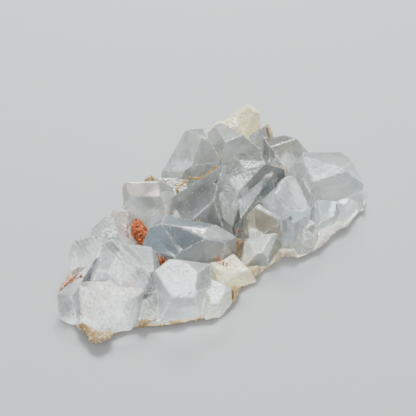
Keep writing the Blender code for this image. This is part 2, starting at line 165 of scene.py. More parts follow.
pale_floor()
print("floor:", 2.0 * FLOOR_HALF, "m wide")

# %% [markdown]
# ## Facets
#
# A crystal's faces are flat, but no edge on it stays razor sharp: it is bruised in the ground and
# by the digging, and each bruise scatters light, so edges look white and soft. To wear a crystal,
# the script must first know its facets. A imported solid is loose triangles, so a copy is welded, and
# the triangles that lie in one plane are numbered as one facet.

# %% Facets of a solid
WELD = 0.001 * MM
FLAT = math.radians(0.5)  # faces that turn less than this are one facet


def whole_facets(node):
    """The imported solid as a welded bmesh, its triangles numbered by the facet they lie on."""
    form = bmesh.new()
    form.from_mesh(frame["nodes"][node].data)
    bmesh.ops.remove_doubles(form, verts=form.verts, dist=WELD)
    bmesh.ops.dissolve_limit(form, angle_limit=FLAT, verts=form.verts, edges=form.edges)
    facet = form.faces.layers.int.new("facet")
    for number, face in enumerate(form.faces):
        face[facet] = number
    bmesh.ops.triangulate(form, faces=form.faces)
    form.faces.ensure_lookup_table()
    return form


blade = whole_facets("blue_blade")
number = blade.faces.layers.int["facet"]
print("blue_blade:", len({face[number] for face in blade.faces}), "facets")

# %% [markdown]
# ## Edges and hollows
#
# Where two facets meet at an outer edge the stone is chipped. Where they meet in a hollow, between
# two crystals, dirt is caught, and the stone is painted darker there as painted shade. So the two are
# told apart by the way the surface turns. Points close together along them go into a search tree,
# which later answers how near the next edge is.

# %% Edges of a solid
SHARP = math.radians(14.0)  # edges that turn more than this wear
EDGE_STEP = 0.12 * MM  # spacing of the points along an edge


def edge_points(form, outer):
    """Points along the sharp outer edges, or along the hollows between crystals."""
    points = []
    for edge in form.edges:
        if len(edge.link_faces) != 2:
            continue
        turn = edge.calc_face_angle_signed()
        if (turn if outer else -turn) < SHARP:
            continue
        a, b = (v.co for v in edge.verts)
        steps = max(1, round((b - a).length / EDGE_STEP))
        points += [a.lerp(b, i / steps) for i in range(steps + 1)]
    return points


def point_tree(points):
    """A search tree over points, or None where there are none."""
    tree = KDTree(max(1, len(points)))
    for i, point in enumerate(points):
        tree.insert(point, i)
    tree.balance()
    return tree if points else None


print("blue_blade:", len(edge_points(blade, True)), "points on outer edges,",
      len(edge_points(blade, False)), "in hollows")

# %% [markdown]
# ## A close net
#
# A Bevel modifier could round the edges, but where crystals grow through each other it meets tiny
# edges and gives up. So each solid is remeshed into a close net of quads instead. Later every point
# is laid back on the nearest flat face, and only the points beside an edge are smoothed. A remesh
# can leave specks and shut-in bubbles, so only its largest part is kept.


# %% A close net over a solid
def drop_specks(mesh):
    """Keep only the largest loose part."""
    form = bmesh.new()
    form.from_mesh(mesh)
    left = set(form.verts)
    parts = []
    while left:
        part, front = set(), {left.pop()}
        while front:
            part |= front
            front = {edge.other_vert(v) for v in front for edge in v.link_edges} - part
        left -= part
        parts.append(part)
    parts.sort(key=len)
    bmesh.ops.delete(form, geom=[v for part in parts[:-1] for v in part], context="VERTS")
    form.to_mesh(mesh)
    form.free()


def net_over(node, form, size):
    """Quads of one size all over the solid."""
    mesh = bpy.data.meshes.new(node)
    form.to_mesh(mesh)
    obj = bpy.data.objects.new(node + "_net", mesh)
    bpy.context.scene.collection.objects.link(obj)
    remesh = obj.modifiers.new("net", "REMESH")
    remesh.mode = "VOXEL"
    remesh.voxel_size = size
    ready = obj.evaluated_get(bpy.context.evaluated_depsgraph_get())
    net = bpy.data.meshes.new_from_object(ready)
    bpy.data.objects.remove(obj)
    bpy.data.meshes.remove(mesh)
    drop_specks(net)
    return net


SAMPLE_NET = 0.5 * MM
sample = net_over("blue_blade", blade, SAMPLE_NET)
print("a coarse net over blue_blade:", len(sample.polygons), "quads")

# %% [markdown]
# ## Each facet's shade, with painted light
#
# The crystals aren't alike: some are lilac, some steel blue, some warm grey, and a few faces are
# broken and milky or ruled with growth lines. A facet's shade also holds painted light: a face that
# glints or catches the lamps is painted near white, and a face in shade is painted darker. One
# material for each face would be a long list, and paint would need a texture. So a face is marked by
# a place on it. Each facet takes its own mark's shade, milkiness and lines, and one with no mark
# takes the nearest mark's.

# %% Shades and marks
SHADES = {
    "steel": (0.085, 0.142, 0.215),
    "blue": (0.185, 0.285, 0.355),
    "umber": (0.095, 0.09, 0.07),
    "slate": (0.10, 0.115, 0.13),
    "smoke": (0.165, 0.165, 0.165),
    "olive": (0.17, 0.18, 0.15),
    "ash": (0.26, 0.28, 0.28),
    "lilac": (0.34, 0.345, 0.37),
    "mist": (0.44, 0.475, 0.465),
    "sea": (0.39, 0.48, 0.46),
    "oat": (0.40, 0.365, 0.28),
    "pearl": (0.63, 0.68, 0.67),
    "rose": (0.70, 0.60, 0.54),
    "linen": (0.74, 0.71, 0.60),
    "frost": (0.80, 0.865, 0.855),
    "straw": (0.80, 0.75, 0.52),
    "ice": (0.84, 0.93, 0.96),
    "snow": (0.93, 0.98, 0.985),
    "cream": (0.98, 0.93, 0.60),
}
# node: (place in mm, shade with its painted light, milkiness, strength of the growth lines)
# each shade is a tint with painted light: near white where a face glints, darker where it is in shade
TINT_AND_LIGHT_MARKS = {
    "big_back_crystal": (
        ((11.4, 19.1, 20.4), "lilac", 0.1, 0.4), ((6.7, 20.1, 15.0), "frost", 0.0, 0.1),
        ((9.6, 13.7, 17.7), "ash", 0.0, 0.1), ((5.6, 14.4, 14.0), "lilac", 0.2, 0.2)),
    "west_crystals": (
        ((-10.7, 15.4, 15.3), "rose", 0.0, 0.4), ((-12.0, 13.9, 12.1), "pearl", 0.1, 0.2),
        ((-6.4, 11.2, 14.3), "mist", 0.1, 0.1), ((-4.5, 2.0, 15.4), "smoke", 0.0, 0.1),
        ((-3.9, -2.5, 14.8), "smoke", 0.0, 0.1), ((-9.2, 8.8, 11.3), "pearl", 0.0, 0.3),
        ((4.9, 0.9, 20.3), "snow", 0.3, 0.3), ((1.6, 18.4, 9.8), "oat", 0.4, 0.2)),
    "far_west_crystals": (
        ((-19.1, 12.1, 12.3), "rose", 0.3, 0.2), ((-24.8, 10.9, 15.2), "snow", 0.9, 0.0),
        ((-26.2, 13.2, 12.5), "snow", 0.8, 0.0), ((-32.7, 9.3, 12.7), "mist", 0.1, 1.0),
        ((-37.7, 8.1, 9.7), "pearl", 0.2, 1.0), ((-29.0, 1.1, 16.1), "lilac", 0.2, 0.6),
        ((-30.1, -3.4, 14.3), "frost", 0.8, 0.5), ((-34.6, -1.9, 11.6), "slate", 0.1, 0.2),
        ((-29.3, -7.2, 12.5), "lilac", 0.2, 0.5), ((-25.3, -4.2, 15.2), "frost", 0.5, 0.4),
        ((-27.1, -0.4, 16.0), "frost", 0.4, 0.2), ((-37.6, -4.2, 12.2), "linen", 0.8, 0.6),
        ((-35.4, -10.0, 9.3), "snow", 0.7, 0.5), ((-31.1, -11.1, 7.0), "frost", 0.3, 0.3),
        ((-42.2, 3.5, 9.7), "snow", 0.4, 0.2), ((-44.4, -0.1, 6.1), "snow", 0.3, 0.4)),
    "front_prisms": (
        # painted highlight: the front prism's top is painted near white where it reflects the back
        # panel
        ((-22.5, -15.4, 14.7), "ice", 0.65, 0.8), ((-24.5, -18.6, 8.8), "frost", 0.1, 0.2),
        ((-26.5, -15.5, 12.2), "pearl", 0.1, 0.2), ((-16.8, -17.9, 13.6), "ash", 0.1, 0.2),
        ((-17.3, -13.8, 14.9), "mist", 0.1, 0.3), ((-16.0, -21.7, 10.7), "frost", 0.3, 0.1),
        ((-17.2, -23.2, 6.4), "cream", 0.6, 0.1), ((-28.3, -12.5, 6.9), "umber", 0.0, 0.2)),
    "blue_blade": (
        ((-14.7, -3.8, 18.4), "steel", 0.0, 0.3), ((-13.1, -10.6, 15.6), "blue", 0.1, 0.2),
        ((-10.5, -9.5, 18.8), "frost", 0.2, 0.1), ((-17.8, -1.4, 15.0), "blue", 0.0, 0.1),
        ((-10.5, -4.4, 17.9), "blue", 0.1, 0.2), ((-6.5, -12.4, 17.1), "frost", 0.1, 0.1),
        ((-8.4, -12.7, 13.1), "smoke", 0.2, 0.2)),
    "centre_crystals": (
        ((19.4, 14.6, 19.0), "frost", 0.2, 0.1), ((19.6, 9.7, 18.5), "snow", 0.0, 0.1),
        # painted glint: the chip at the back is painted snow white
        ((24.7, 10.1, 17.6), "snow", 0.9, 0.0), ((26.3, 8.7, 16.3), "snow", 0.7, 0.0),
        ((15.0, 0.6, 21.7), "slate", 0.4, 0.8), ((11.3, -2.5, 22.5), "mist", 0.9, 0.3),
        ((9.0, 0.7, 20.7), "mist", 0.6, 0.2), ((10.5, -5.3, 24.0), "mist", 0.7, 0.2),
        ((6.1, -7.5, 17.7), "slate", 0.0, 0.3), ((3.8, -4.3, 18.5), "frost", 0.4, 0.2),
        ((27.1, 1.5, 17.0), "linen", 0.0, 0.1), ((28.5, -1.3, 14.4), "pearl", 0.0, 0.1),
        ((24.1, 2.2, 15.4), "olive", 0.0, 0.1), ((31.0, 3.1, 17.9), "umber", 0.0, 0.1)),
    "east_crystals": (
        ((12.0, -18.8, 10.6), "pearl", 0.1, 0.1), ((15.4, -14.5, 18.8), "ash", 0.0, 0.7),
        ((10.9, -12.9, 16.8), "snow", 0.4, 0.1), ((13.2, -19.7, 16.5), "sea", 0.1, 0.1),
        ((27.4, -16.1, 19.9), "blue", 0.3, 0.9), ((25.4, -8.1, 18.1), "snow", 0.3, 0.2),
        ((31.2, -18.2, 11.8), "frost", 0.3, 0.2), ((34.4, -9.4, 18.4), "mist", 0.1, 0.2),
        ((25.9, -18.2, 8.5), "sea", 0.0, 0.1), ((24.4, -17.1, 10.5), "slate", 0.0, 0.1)),
    "south_east_crystals": (
        ((9.8, -9.4, 14.9), "snow", 0.3, 0.2), ((6.6, -11.3, 11.0), "linen", 0.0, 0.1),
        ((8.3, -14.2, 11.3), "oat", 0.0, 0.1), ((3.0, -17.4, 7.1), "olive", 0.1, 0.3),
        ((1.9, -13.5, 8.4), "oat", 0.1, 0.2), ((5.1, -15.3, 9.6), "olive", 0.1, 0.4),
        # painted glint: the small top of the south-east crystal is painted snow white
        ((17.4, -20.3, 11.0), "snow", 0.9, 0.0), ((16.5, -21.2, 9.2), "mist", 0.0, 0.2),
        ((14.8, -21.0, 7.6), "pearl", 0.1, 0.1), ((16.5, -22.1, 7.3), "linen", 0.1, 0.1)),
    "milky_rim": (((33.6, -19.8, 7.7), "snow", 1.0, 0.0),),
    "cream_calcite": (
        ((-7.0, -16.9, 8.2), "straw", 0.6, 0.0), ((-8.8, -18.1, 6.6), "cream", 0.4, 0.0)),
    "cream_chunk": (((30.5, 18.5, 16.1), "cream", 0.8, 0.5),),
}
PLAIN_MARK = (((0.0, 0.0, 0.0), "oat", 0.8, 0.0),)  # for the rock and the clay
print("shades:", len(SHADES), "marks:", sum(len(marks) for marks in TINT_AND_LIGHT_MARKS.values()))

# %% [markdown]
# ## From marks to facets
#
# Each mark looks for the triangle nearest to it, and that triangle's facet takes the mark. A facet
# that no mark names takes the one nearest to its middle. So a mark may be a little off without
# harm, and a new facet never stays bare.

# %% Marks on the facets
LEAST_AREA = 1e-15  # m2, so that a facet of no area divides by something


def facet_marks(node, form, tree):
    """Red, green, blue (tint with painted highlights and shade), milkiness and lines for every facet.
    """
    facet = form.faces.layers.int["facet"]
    count = max(face[facet] for face in form.faces) + 1
    middle = np.zeros((count, 3))
    area = np.zeros(count)
    for face in form.faces:
        size = face.calc_area()
        middle[face[facet]] += np.array(face.calc_center_median()) * size
        area[face[facet]] += size
    middle /= area.clip(LEAST_AREA)[:, None]
    spots, values, owned = [], [], {}
    for spot, shade, milk, lines in TINT_AND_LIGHT_MARKS.get(node, PLAIN_MARK):
        where = place(*spot)
        value = (*SHADES[shade], milk, lines)
        owned[form.faces[tree.find_nearest(where)[2]][facet]] = value
        spots.append(where)
        values.append(value)
    gap = np.linalg.norm(middle[:, None] - np.array(spots)[None], axis=2)
    marks = np.array(values)[gap.argmin(axis=1)]
    for number, value in owned.items():
        marks[number] = value
    return marks


marks = facet_marks("blue_blade", blade, BVHTree.FromBMesh(blade))
print("blue_blade:", len(marks), "facets, milky up to", marks[:, 3].max())

# %% [markdown]
# ## Looking around
#
# Before a net is worn, each of its points is laid on the solid and looks around: which facet is it
# on, how far is the nearest edge, hollow or other piece, and how thick is the stone behind it? The
# thickness matters, because a dent that is deeper than its stone would turn the stone inside out.

# %% Survey a net
FAR = 1.0  # m, for a point that has nothing near it
HOLLOW_REACH = 0.9 * MM  # how far from a hollow the stone takes painted shade and catches stain
JUST_INSIDE = 0.01  # mm, where the look through the stone starts


def points_of(mesh):
    """Every point's place, one row each."""
    flat = np.empty(len(mesh.vertices) * 3)
    mesh.vertices.foreach_get("co", flat)
    return flat.reshape(-1, 3)


def solid_tree(nodes):
    """One search tree over the faces of several solids."""
    points, faces = [], []
    for node in nodes:
        mesh = frame["nodes"][node].data
        start = len(points)
        points += [vert.co.copy() for vert in mesh.vertices]
        faces += [[start + i for i in face.vertices] for face in mesh.polygons]
    return BVHTree.FromPolygons(points, faces)


def survey(node, form, net):
    """Lay a net's points on their solid and measure what is around each of them."""
    tree = BVHTree.FromBMesh(form)
    outer, inner = (point_tree(edge_points(form, side)) for side in (True, False))
    others = solid_tree(other for other in frame["nodes"] if other != node)
    facet = form.faces.layers.int["facet"]
    owner = [face[facet] for face in form.faces]
    marks = facet_marks(node, form, tree)
    points = points_of(net)
    seen = {name: np.full(len(points), FAR) for name in ("edge", "hollow", "other", "thickness")}
    normals = np.empty_like(points)
    own_marks = np.empty((len(points), marks.shape[1]))
    for i, point in enumerate(points):
        spot, normal, face, _ = tree.find_nearest(point)
        points[i] = spot
        normals[i] = normal
        own_marks[i] = marks[owner[face]]
        if outer:
            seen["edge"][i] = outer.find(spot)[2]
        if inner:
            seen["hollow"][i] = inner.find(spot)[2]
        touched = others.find_nearest(spot, 2.0 * HOLLOW_REACH)[3]
        if touched is not None:
            seen["other"][i] = touched
        behind = tree.ray_cast(spot - normal * JUST_INSIDE * MM, -normal)[3]
        if behind is not None:
            seen["thickness"][i] = behind
    seen["hollow"] = np.minimum(seen["hollow"], seen["other"])
    seen.update(points=points, normals=normals, shade=own_marks[:, :3], milk=own_marks[:, 3],
                lines=own_marks[:, 4])
    return seen


seen = survey("blue_blade", blade, sample)
print("blue_blade is up to", round(seen["thickness"].max() / MM, 1), "mm thick")
bpy.data.meshes.remove(sample)
blade.free()

# %% [markdown]
# ## Dents
#
# The net is now given its small shape: a slow waviness on the faces, coarse lumps where a face is
# broken and milky, and chips on the edges. Noise gives all three, as no two dents are alike.
# Everything is cut inwards, so that the piece stays inside its solid, and no dent takes more than
# a quarter of the stone's thickness. The flat cut that the cluster rests on is left alone.

# %% Dents
SEED_STEP = (3.1, 1.7, 2.3)  # how far apart two seeds look into the same noise
EDGE_REACH = 0.34 * MM  # how far from an edge the chips and the rounding reach
WAVE, WAVE_SCALE = 0.07 * MM, 240.0  # depth, and waves per metre
LUMP = 0.34 * MM  # depth on a milky face
LUMP_SCALE, FINE_LUMP_SCALE = 600.0, 1600.0
FINE_LUMP = 0.4  # share of a lump's depth that comes at the finer scale
LUMP_CONTRAST = 0.8
LUMP_POWER = 1.5  # keeps a face that is only a little milky nearly smooth
CHIP, CHIP_SCALE = 0.4 * MM, 650.0  # on edges
CHIP_FROM = 0.1  # where the noise is lower, the edge has no chip
THIN = 0.25  # no dent goes deeper than this share of the stone's thickness
FOOT_TOP, FACES_DOWN = 0.3 * MM, -0.9  # faces that look down below this height are the flat cut


def noise_at(points, scale, seed):
    """Smooth noise from -1 to 1 at each point; the scale is in waves per metre."""
    shift = Vector([seed * step for step in SEED_STEP])
    return np.array([noise.noise(Vector(p) * scale + shift) for p in points])


def nearness(distance, reach):
    """1 on the spot, and fading to nearly nothing at twice the reach."""
    return np.exp(-(distance / reach) ** 2)


def dents(seen, lump):
    """How deep each point is pressed in."""
    points = seen["points"]
    depth = WAVE * (0.5 + 0.5 * noise_at(points, WAVE_SCALE, 1))
    lumps = ((1.0 - FINE_LUMP) * noise_at(points, LUMP_SCALE, 2)
             + FINE_LUMP * noise_at(points, FINE_LUMP_SCALE, 4))
    depth += lump * seen["milk"] ** LUMP_POWER * np.clip(0.5 + LUMP_CONTRAST * lumps, 0.0, 1.0)
    depth += (CHIP * nearness(seen["edge"], EDGE_REACH)
              * np.clip(noise_at(points, CHIP_SCALE, 3) - CHIP_FROM, 0.0, 1.0))
    depth = np.minimum(depth, THIN * seen["thickness"])
    depth[(seen["normals"][:, 2] < FACES_DOWN) & (points[:, 2] < FOOT_TOP)] = 0.0
    return depth


print("deepest dent in blue_blade:", round(dents(seen, LUMP).max() / MM, 2), "mm")

# %% [markdown]
# ## Worn and marked
#
# A net of fifty thousand points is moved as one array, which is far quicker than a loop. After the
# dents, the points beside an edge are pulled towards their neighbours, which rounds it. What is
# known of a point is kept as an attribute, so that its finish can read it. A colour is kept as a
# vector: a colour attribute reads as black in a material that also absorbs light inside. One
# crystal at the left end also has a rusty healed crack, which shows as a blush around one place.

# %% Wear a net
EDGE_PALE = 0.25 * MM  # how far from an edge the bruises show
RIM_GLOW_REACH = 1.7 * MM  # how far from an edge the painted glow reaches, which makes the stone look paler
SMOOTHING, SMOOTH_ROUNDS = 0.7, 3  # how strongly, and how often, an edge is smoothed
BLUSH = {"far_west_crystals": ((-30.5, -6.0, 12.6), 2.2)}  # place and reach in mm


def put_points(mesh, points):
    """Move every point to its row's place."""
    mesh.vertices.foreach_set("co", points.ravel())
    mesh.update()


def soften(mesh, weight, rounds):
    """Pull points towards the middle of their neighbours, by a weight of their own."""
    pairs = np.empty(len(mesh.edges) * 2, dtype=np.int64)
    mesh.edges.foreach_get("vertices", pairs)
    a, b = pairs.reshape(-1, 2).T
    count = np.bincount(np.concatenate((a, b)), minlength=len(mesh.vertices)).clip(1)
    points = points_of(mesh)
    for _ in range(rounds):
        total = np.empty_like(points)
        for axis in range(3):
            column = points[:, axis]
            total[:, axis] = (np.bincount(a, column[b], len(points))
                              + np.bincount(b, column[a], len(points)))
        points += weight[:, None] * (total / count[:, None] - points)
    put_points(mesh, points)


def keep(mesh, name, values):
    """Store a number for each point."""
    made = mesh.attributes.new(name, "FLOAT", "POINT")
    made.data.foreach_set("value", np.asarray(values, dtype=np.float32))


def keep_colour(mesh, name, colours):
    """Store a colour for each point, as a vector of red, green and blue."""
    made = mesh.attributes.new(name, "FLOAT_VECTOR", "POINT")
    made.data.foreach_set("vector", np.asarray(colours, dtype=np.float32).ravel())


def worn(node, size, lump=LUMP):
    """A close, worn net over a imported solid, with its attributes."""
    form = whole_facets(node)
    net = net_over(node, form, size)
    seen = survey(node, form, net)
    form.free()
    put_points(net, seen["points"] - seen["normals"] * dents(seen, lump)[:, None])
    soften(net, SMOOTHING * nearness(seen["edge"], EDGE_REACH), SMOOTH_ROUNDS)
    keep(net, "edge", nearness(seen["edge"], EDGE_PALE))
    # painted glow: the stone is painted paler near its edges, where light scatters in it
    keep(net, "rim", nearness(seen["edge"], RIM_GLOW_REACH))
    keep(net, "hollow", nearness(seen["hollow"], HOLLOW_REACH))
    if node in BLUSH:
        spot, reach = BLUSH[node]
        away = np.linalg.norm(seen["points"] - np.array(place(*spot)), axis=1)
        keep(net, "blush", nearness(away, reach * MM))
    keep(net, "milk", seen["milk"])
    keep(net, "lines", seen["lines"])
    # the facet's tint, with the painted highlights and painted shade of its mark
    keep_colour(net, "shade", seen["shade"])
    net.polygons.foreach_set("use_smooth", [True] * len(net.polygons))
    return net


sample = worn("blue_blade", SAMPLE_NET)
print("kept for each point:", [kept.name for kept in sample.attributes if not kept.is_internal])
bpy.data.meshes.remove(sample)

# %% [markdown]
# ## Small helpers for node trees
#
# The finishes are built from nodes in the script: an image would blur close by and fit one piece
# only. A few helpers keep that short. They add a node and set or link its inputs, and make a group
# with named sockets or put one to use.

# %% Nodes and groups
F, V = "NodeSocketFloat", "NodeSocketVector"


def feed(tree, socket, value):
    """Link a socket to an input, or set the input's own value."""
    if isinstance(value, bpy.types.NodeSocket):
        tree.links.new(value, socket)
    else:
        socket.default_value = value


def add(tree, kind, values=None, **settings):
    """Add a node, set its properties, and set or link its inputs."""
    node = tree.nodes.new(kind)
    for key, value in settings.items():
        setattr(node, key, value)
    for key, value in (values or {}).items():
        feed(tree, node.inputs[key], value)
    return node


def group_tree(name, kind, inputs, outputs):
    """A node group with named sockets: inputs are (name, type, value), outputs (name, type)."""
    tree = bpy.data.node_groups.new(name, kind)
    for label, socket, value in inputs:
        made = tree.interface.new_socket(label, in_out="INPUT", socket_type=socket)
        if value is not None:
            made.default_value = value
    for label, socket in outputs:
        tree.interface.new_socket(label, in_out="OUTPUT", socket_type=socket)
    start = tree.nodes.new("NodeGroupInput")
    end = tree.nodes.new("NodeGroupOutput")
    return tree, start.outputs, end.inputs


def use(tree, group, **values):
    """Place a shader group in a material, with values for its inputs."""
    return add(tree, "ShaderNodeGroup", values, node_tree=group).outputs


print("helpers:", [step.__name__ for step in (feed, add, group_tree, use)])

# %% [markdown]
# ## The nodes used most
#
# These wrap one node each, so that a recipe below reads as a few words. Patterns read Object
# coordinates, which are the frame's own metres. So a pattern's scale is in waves per metre, and it
# runs on from one crystal to the next.

# %% Common nodes
MIX_FACTOR, MIX_FIRST, MIX_SECOND, MIX_RESULT = 0, 6, 7, 2  # a Mix node's sockets for colours


def maths(tree, operation, *values, clamp=False):
    """A Math node's result, from numbers or sockets."""
    node = add(tree, "ShaderNodeMath", dict(enumerate(values)), operation=operation)
    node.use_clamp = clamp
    return node.outputs[0]


def blend(tree, factor, first, second):
    """Mix two colours by a factor."""
    values = {MIX_FACTOR: factor, MIX_FIRST: first, MIX_SECOND: second}
    return add(tree, "ShaderNodeMix", values, data_type="RGBA").outputs[MIX_RESULT]


def ramp(tree, value, low, high, start=0.0, end=1.0):
    """The start below low, the end above high, and smooth between."""
    return add(tree, "ShaderNodeMapRange",
               {"Value": value, "From Min": low, "From Max": high, "To Min": start, "To Max": end},
               interpolation_type="SMOOTHSTEP").outputs[0]


def attribute(tree, name):
    """A number that each point keeps."""
    return add(tree, "ShaderNodeAttribute", attribute_name=name).outputs["Fac"]


def object_place(tree):
    """Where a point is, in the frame's metres."""
    return add(tree, "ShaderNodeTexCoord").outputs["Object"]


def clouds(tree, scale, detail, **more):
    """Soft noise from 0 to 1 over the piece."""
    values = {"Vector": object_place(tree), "Scale": scale, "Detail": detail, **more}
    return add(tree, "ShaderNodeTexNoise", values).outputs[0]


print("helpers:", [step.__name__ for step in (maths, blend, ramp, attribute, object_place, clouds)])

# %% [markdown]
# ## Haze and veils
#
# Haze is the cloudiness inside a crystal. Veils are healed cracks, which show as thin white curves.
# Both come from soft noise: haze keeps its high parts, and a veil runs where the noise crosses its
# middle value. Each is a node group with named inputs, so that every finish can use it at its own
# scale and strength.

# %% Haze and veil groups
MIDDLE_VALUE = 0.5


def haze_group():
    """Soft clouds: 0 where the noise is under Low, and 1 over High."""
    tree, given, out = group_tree("haze", "ShaderNodeTree",
                                  [("Scale", F, 120.0), ("Low", F, 0.4), ("High", F, 0.7)],
                                  [("Mask", F)])
    cloud = clouds(tree, given["Scale"], 4.0, Roughness=0.55, Distortion=0.6)
    tree.links.new(ramp(tree, cloud, given["Low"], given["High"]), out["Mask"])
    return tree


def veil_group():
    """Thin curves where the noise crosses its middle value."""
    tree, given, out = group_tree("veils", "ShaderNodeTree",
                                  [("Scale", F, 100.0), ("Width", F, 0.012)], [("Mask", F)])
    cloud = clouds(tree, given["Scale"], 2.0, Distortion=0.8)
    off = maths(tree, "ABSOLUTE", maths(tree, "SUBTRACT", cloud, MIDDLE_VALUE))
    tree.links.new(ramp(tree, off, 0.0, given["Width"], 1.0, 0.0), out["Mask"])
    return tree


HAZE, VEILS = haze_group(), veil_group()
print("groups:", HAZE.name, "and", VEILS.name)

# %% [markdown]
# ## Growth lines and sugar grains
#
# Growth lines are the fine parallel steps that a face keeps from its growth. They are stretched
# noise and a warped wave, turned to the crystal's own direction: a plain wave alone looks like a
# comb. Sugar grains are the small broken cells of a milky face, so they come from cells.

# %% Growth and sugar groups
STRETCH = (1.0, 0.06, 0.2)  # close together along X, longest along Y
WAVE_SHARE, WAVE_COARSER = 0.5, 0.28  # the wave's strength and scale beside the fine lines
BAND_FROM, BAND_FULL = 0.55, 0.95


def growth_group():
    """Fine lines as a height, and broader pale bands as a mask."""
    tree, given, out = group_tree("growth lines", "ShaderNodeTree",
                                  [("Turn", V, (0.0, 0.0, 0.0)), ("Scale", F, 900.0)],
                                  [("Height", F), ("Bands", F)])
    turned = add(tree, "ShaderNodeMapping", {"Vector": object_place(tree),
                                             "Rotation": given["Turn"], "Scale": STRETCH})
    fine = add(tree, "ShaderNodeTexNoise", {"Vector": turned.outputs[0], "Scale": given["Scale"],
                                            "Detail": 3.0, "Roughness": 0.6})
    wave = add(tree, "ShaderNodeTexWave", {
        "Vector": turned.outputs[0],
        "Scale": maths(tree, "MULTIPLY", given["Scale"], WAVE_COARSER),
        "Distortion": 5.0, "Detail": 3.0, "Detail Scale": 0.6}, bands_direction="X").outputs[1]
    tree.links.new(maths(tree, "MULTIPLY_ADD", wave, WAVE_SHARE, fine.outputs[0]), out["Height"])
    tree.links.new(ramp(tree, wave, BAND_FROM, BAND_FULL), out["Bands"])
    return tree


def sugar_group():
    """A tone for each cell, and a height that rises towards its border."""
    tree, given, out = group_tree("sugar grains", "ShaderNodeTree", [("Scale", F, 1300.0)],
                                  [("Tone", F), ("Height", F)])
    cells = add(tree, "ShaderNodeTexVoronoi", {"Vector": object_place(tree),
                                               "Scale": given["Scale"], "Randomness": 1.0})
    tone = add(tree, "ShaderNodeSeparateColor", {0: cells.outputs["Color"]}).outputs[0]
    tree.links.new(tone, out["Tone"])
    tree.links.new(cells.outputs["Distance"], out["Height"])
    return tree


GROWTH, SUGAR = growth_group(), sugar_group()
print("groups:", GROWTH.name, "and", SUGAR.name)

# %% [markdown]
# ## Worn edges and iron stain
#
# Bruises lie along the edges and iron clay is caught in the hollows, but neither is even: both
# come in patches. So both are one recipe, an attribute of the net broken up by noise.


# %% Edge and stain groups
def patchy_group(name, kept, low, high):
    """An attribute's mask in patches, where the noise is over low."""
    tree, given, out = group_tree(name, "ShaderNodeTree",
                                  [("Scale", F, 500.0), ("Amount", F, 0.5)], [("Mask", F)])
    patch = ramp(tree, clouds(tree, given["Scale"], 3.0), low, high)
    spread = maths(tree, "MULTIPLY", attribute(tree, kept), patch)
    tree.links.new(maths(tree, "MULTIPLY", spread, given["Amount"], clamp=True), out["Mask"])
    return tree


WEAR = patchy_group("worn edges", "edge", low=0.30, high=0.60)
STAIN = patchy_group("iron stain", "hollow", low=0.56, high=0.70)
print("groups:", WEAR.name, "and", STAIN.name)

# %% [markdown]
# ## Celestite's masks
#
# Celestite lets light through, but it is never as clear as glass: a soft haze inside makes it look
# like pale gel. What makes it so changes at every scale, from clouds of some millimetres to specks
# of dust, which also stand as painted sparkle, so the haze group is used five times. All the masks
# are gathered by name first, and the colour, the roughness and the relief then draw on them.

# %% Masks of a celestite finish
# name: (waves per metre, where the mask starts, where it is full)
LAYERS = {
    "cloud": (140.0, 0.42, 0.70),  # pale clouds
    "deep": (260.0, 0.36, 0.62),  # where the stone's own shade shows, not its darker one
    "fine": (620.0, 0.44, 0.66),  # the mottling of a milky face
    "pits": (1500.0, 0.56, 0.66),  # small dark hollows
    "dust_and_sparkle": (2300.0, 0.62, 0.68),  # pale specks: dust, and painted sparkle
}
VEIL_SIZES = ((95.0, 0.010), (230.0, 0.016))  # (waves per metre, width) of two sets of cracks
EDGE_SCALE, EDGE_AMOUNT = 800.0, 0.8
STAIN_SCALE, GROWTH_SCALE, SUGAR_SCALE = 260.0, 1200.0, 1150.0
SUGAR_DARK, SUGAR_POWER = 0.75, 2.0  # how dark the broken grains are, and how few of them
PLAIN_PITS, RULED_PITS = 0.2, 0.25  # how strong the pits are, and what full growth lines add
MILKY_VEILS = 0.3  # what full milkiness adds to the veils


def stone_masks(tree, turn, stain, veiled):
    """Every mask that a celestite finish draws on, by name."""
    m = {name: attribute(tree, name) for name in ("milk", "lines", "rim", "hollow", "blush")}
    for name, (scale, low, high) in LAYERS.items():
        m[name] = use(tree, HAZE, Scale=scale, Low=low, High=high)["Mask"]
    m["edge"] = use(tree, WEAR, Scale=EDGE_SCALE, Amount=EDGE_AMOUNT)["Mask"]
    m["rust"] = use(tree, STAIN, Scale=STAIN_SCALE, Amount=stain)["Mask"]
    growth = use(tree, GROWTH, Turn=turn, Scale=GROWTH_SCALE)
    m["bands"], m["ridges"] = growth["Bands"], growth["Height"]
    sugar = use(tree, SUGAR, Scale=SUGAR_SCALE)
    m["rubble"] = sugar["Height"]
    m["broken"] = maths(tree, "MULTIPLY", maths(tree, "POWER", sugar["Tone"], SUGAR_POWER),
                        maths(tree, "MULTIPLY", m["milk"], SUGAR_DARK), clamp=True)
    strength = maths(tree, "MULTIPLY_ADD", m["lines"], RULED_PITS, PLAIN_PITS)
    m["pits"] = maths(tree, "MULTIPLY", m["pits"], strength, clamp=True)
    cracks = [use(tree, VEILS, Scale=scale, Width=width)["Mask"] for scale, width in VEIL_SIZES]
    m["veils"] = maths(tree, "MULTIPLY", maths(tree, "MAXIMUM", *cracks),
                       maths(tree, "MULTIPLY_ADD", m["milk"], MILKY_VEILS, veiled))
    m["frosted"] = maths(tree, "MULTIPLY", m["fine"], m["milk"])
    return m


print("haze layers:", list(LAYERS))

# %% [markdown]
# ## Celestite's colour
#
# The colour starts from the facet's shade, its tint with painted highlights and painted shade. Where
# the deep haze is thin, a darker shade shows.
# Where the pale haze is thick it turns pale, and near an edge a painted glow makes it paler. Then
# come broken grains, painted shade in the hollows, rust and, on top, the white bruises.

